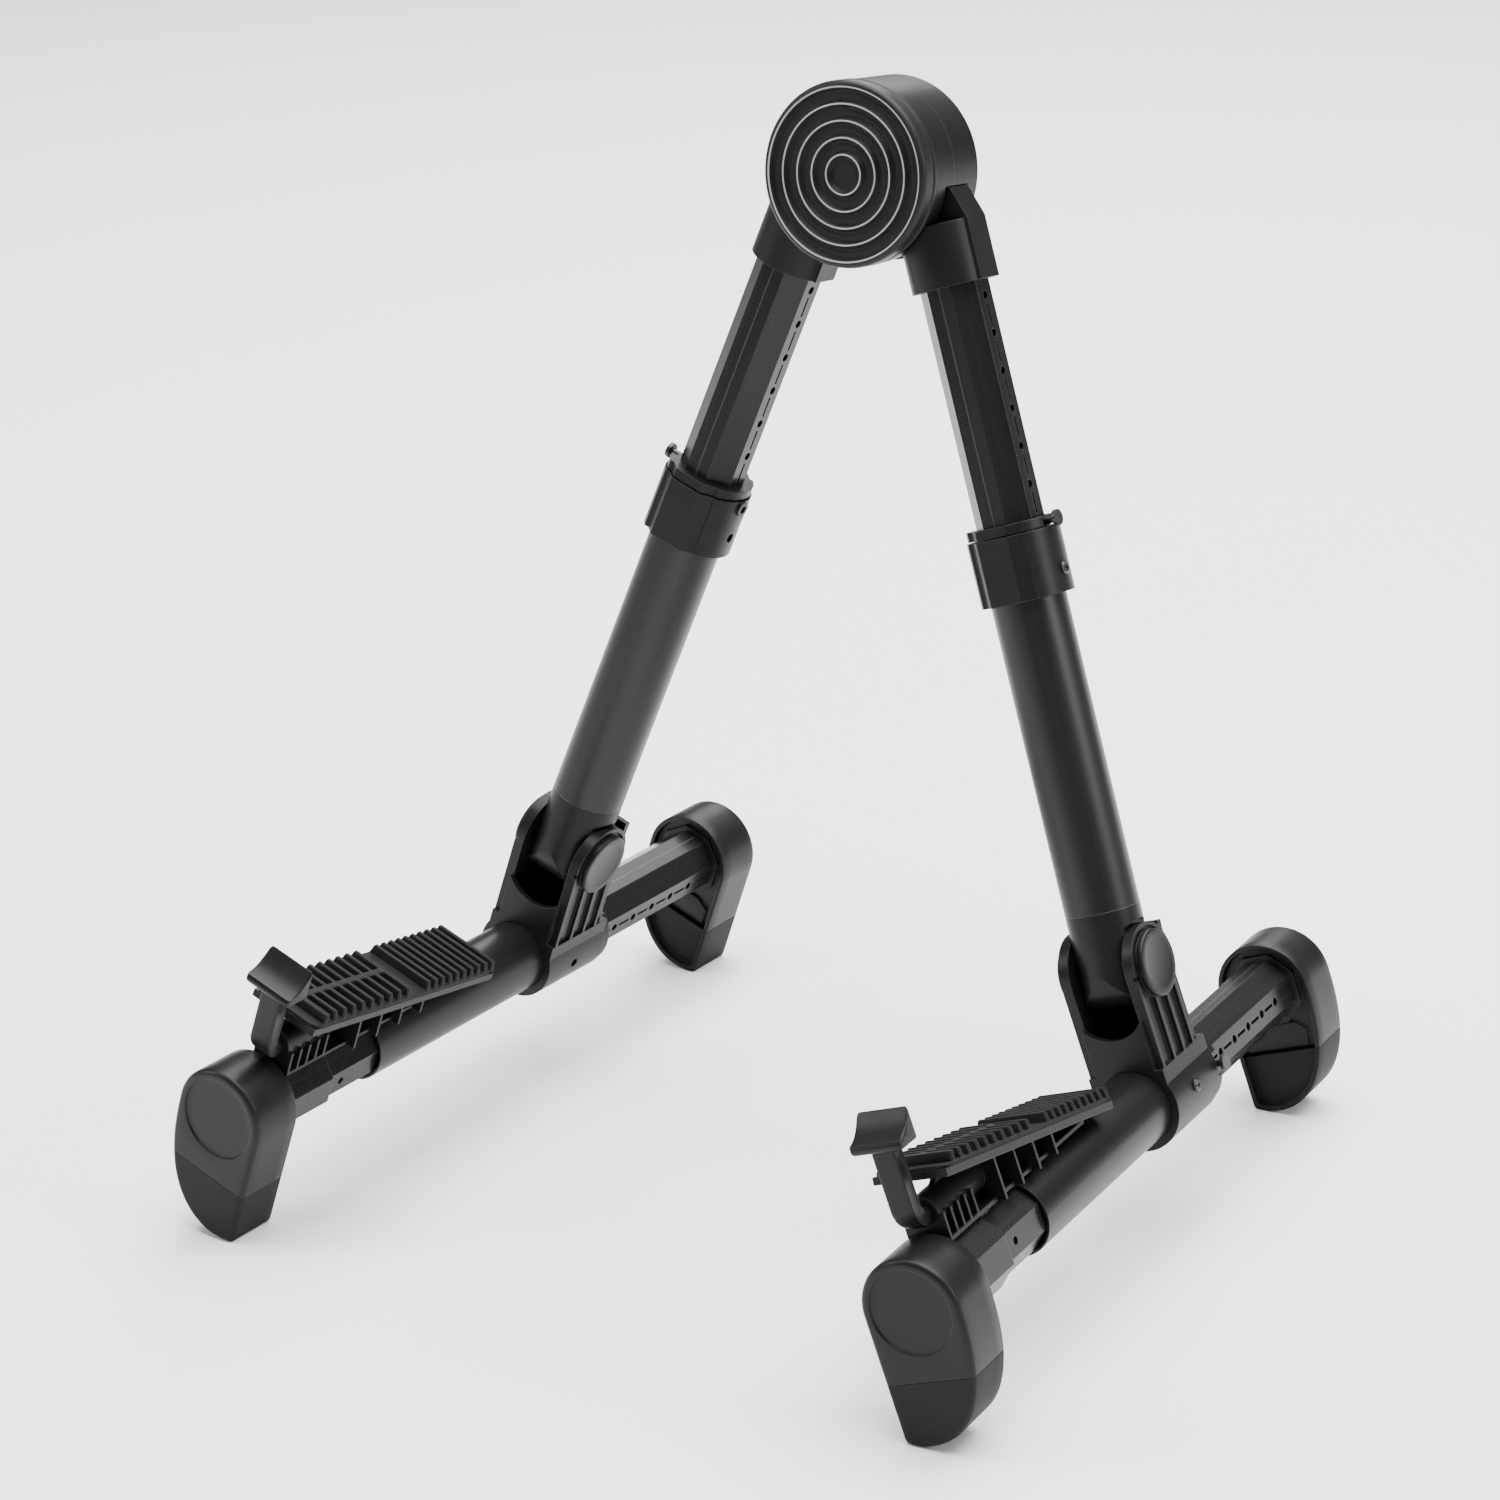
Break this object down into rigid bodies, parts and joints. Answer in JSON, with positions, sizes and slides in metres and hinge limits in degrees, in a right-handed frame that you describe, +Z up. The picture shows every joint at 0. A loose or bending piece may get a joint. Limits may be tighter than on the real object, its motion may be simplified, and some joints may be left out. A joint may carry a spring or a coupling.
{
  "type": "guitar stand",
  "caption": "Folding A-frame guitar stand: telescopic legs on a round ringed hub, each with a folding foot, a ridged rubber cradle and a sliding hook.",
  "frame": {"origin": "on the floor, at the centre of the stand's footprint", "axes": "+Z up; front with the hooks towards -Y; +X to the right leg as seen from the front"},
  "size_m": [0.3658, 0.3398, 0.4382],
  "materials": {
    "black_plastic": "satin black injection moulding with a fine grain",
    "polished_plastic": "smooth black extrusion with crisp edges",
    "grey_tube": "dark grey anodised tube, softly brushed",
    "black_tube": "black anodised tube, fine sparkle",
    "shoe_rubber": "dull black moulded rubber",
    "pad_rubber": "soft black ridged rubber",
    "zinc_steel": "zinc plated steel",
    "black_steel": "black plated steel",
    "washer_plastic": "natural nylon"
  },
  "bodies": {
    "upper_left": {"hub_front_cover": "black_plastic", "hub_housing": "black_plastic", "hub_back_housing": "black_plastic", "hub_back_cover": "black_plastic", "hub_bolt": "zinc_steel", "hub_nut": "zinc_steel", "hub_washers": "washer_plastic", "upper_tube_left": "polished_plastic"},
    "upper_right": {"hub_arm": "black_plastic", "upper_tube_right": "polished_plastic"},
    "lower_left": {"lower_tube_left": "grey_tube", "collar_left": "black_plastic", "collar_bush_left": "black_plastic", "collar_screw_left": "black_steel", "leg_lug_left": "black_plastic"},
    "leg_pin_left": {"leg_lock_pin_left": "black_steel"},
    "foot_left": {"clevis_left": "black_plastic", "pivot_bolt_left": "zinc_steel", "pivot_caps_left": "black_plastic", "foot_tube_left": "black_tube", "clevis_screw_left": "black_steel", "front_insert_left": "polished_plastic", "front_foot_left": "black_plastic", "front_shoe_left": "shoe_rubber", "cradle_left": "black_plastic", "cradle_pad_left": "pad_rubber", "rear_bush_left": "black_plastic"},
    "hook_left": {"hook_arm_left": "black_plastic", "hook_cap_left": "black_plastic"},
    "rear_pin_left": {"rear_lock_pin_left": "black_steel"},
    "rear_left": {"rear_tube_left": "polished_plastic", "rear_foot_left": "black_plastic", "rear_shoe_left": "shoe_rubber", "rear_screw_left": "black_steel"},
    "lower_right": {"lower_tube_right": "grey_tube", "collar_right": "black_plastic", "collar_bush_right": "black_plastic", "collar_screw_right": "black_steel", "leg_lug_right": "black_plastic"},
    "leg_pin_right": {"leg_lock_pin_right": "black_steel"},
    "foot_right": {"clevis_right": "black_plastic", "pivot_bolt_right": "zinc_steel", "pivot_caps_right": "black_plastic", "foot_tube_right": "black_tube", "clevis_screw_right": "black_steel", "front_insert_right": "polished_plastic", "front_foot_right": "black_plastic", "front_shoe_right": "shoe_rubber", "cradle_right": "black_plastic", "cradle_pad_right": "pad_rubber", "rear_bush_right": "black_plastic"},
    "hook_right": {"hook_arm_right": "black_plastic", "hook_cap_right": "black_plastic"},
    "rear_pin_right": {"rear_lock_pin_right": "black_steel"},
    "rear_right": {"rear_tube_right": "polished_plastic", "rear_foot_right": "black_plastic", "rear_shoe_right": "shoe_rubber", "rear_screw_right": "black_steel"}
  },
  "joints": [
    {"name": "hub_hinge", "type": "hinge", "parent": "upper_left", "child": "upper_right", "pos_m": [0, 0.07813, 0.39896], "axis": [0, 0.991, -0.134], "range_deg": [0, 39.6]},
    {"name": "leg_slide_left", "type": "slide", "parent": "upper_left", "child": "lower_left", "axis": [0.3387, 0.1261, 0.9324], "range_m": [0, 0.09]},
    {"name": "leg_pin_pull_left", "type": "slide", "parent": "lower_left", "child": "leg_pin_left", "axis": [-0.9409, 0.0454, 0.3357], "range_m": [0, 0.004], "stiffness_N_per_m": 600, "springref_m": -0.002},
    {"name": "foot_fold_left", "type": "hinge", "parent": "lower_left", "child": "foot_left", "pos_m": [-0.12985, 0.03811, 0.10298], "axis": [-0.9409, 0.0454, 0.3357], "range_deg": [0, 82]},
    {"name": "hook_slide_left", "type": "slide", "parent": "foot_left", "child": "hook_left", "axis": [-0.0482, -0.9988, 0], "range_m": [0, 0.022]},
    {"name": "rear_slide_left", "type": "slide", "parent": "foot_left", "child": "rear_left", "axis": [-0.0482, -0.9988, 0], "range_m": [0, 0.068]},
    {"name": "rear_pin_pull_left", "type": "slide", "parent": "foot_left", "child": "rear_pin_left", "axis": [-0.9409, 0.0454, 0.3357], "range_m": [0, 0.004], "stiffness_N_per_m": 600, "springref_m": -0.002},
    {"name": "leg_slide_right", "type": "slide", "parent": "upper_right", "child": "lower_right", "axis": [-0.3387, 0.1261, 0.9324], "range_m": [0, 0.09]},
    {"name": "leg_pin_pull_right", "type": "slide", "parent": "lower_right", "child": "leg_pin_right", "axis": [0.9409, 0.0454, 0.3357], "range_m": [0, 0.004], "stiffness_N_per_m": 600, "springref_m": -0.002},
    {"name": "foot_fold_right", "type": "hinge", "parent": "lower_right", "child": "foot_right", "pos_m": [0.12985, 0.03811, 0.10298], "axis": [-0.9409, -0.0454, -0.3357], "range_deg": [0, 82]},
    {"name": "hook_slide_right", "type": "slide", "parent": "foot_right", "child": "hook_right", "axis": [0.0482, -0.9988, 0], "range_m": [0, 0.022]},
    {"name": "rear_slide_right", "type": "slide", "parent": "foot_right", "child": "rear_right", "axis": [0.0482, -0.9988, 0], "range_m": [0, 0.068]},
    {"name": "rear_pin_pull_right", "type": "slide", "parent": "foot_right", "child": "rear_pin_right", "axis": [0.9409, 0.0454, 0.3357], "range_m": [0, 0.004], "stiffness_N_per_m": 600, "springref_m": -0.002}
  ]
}
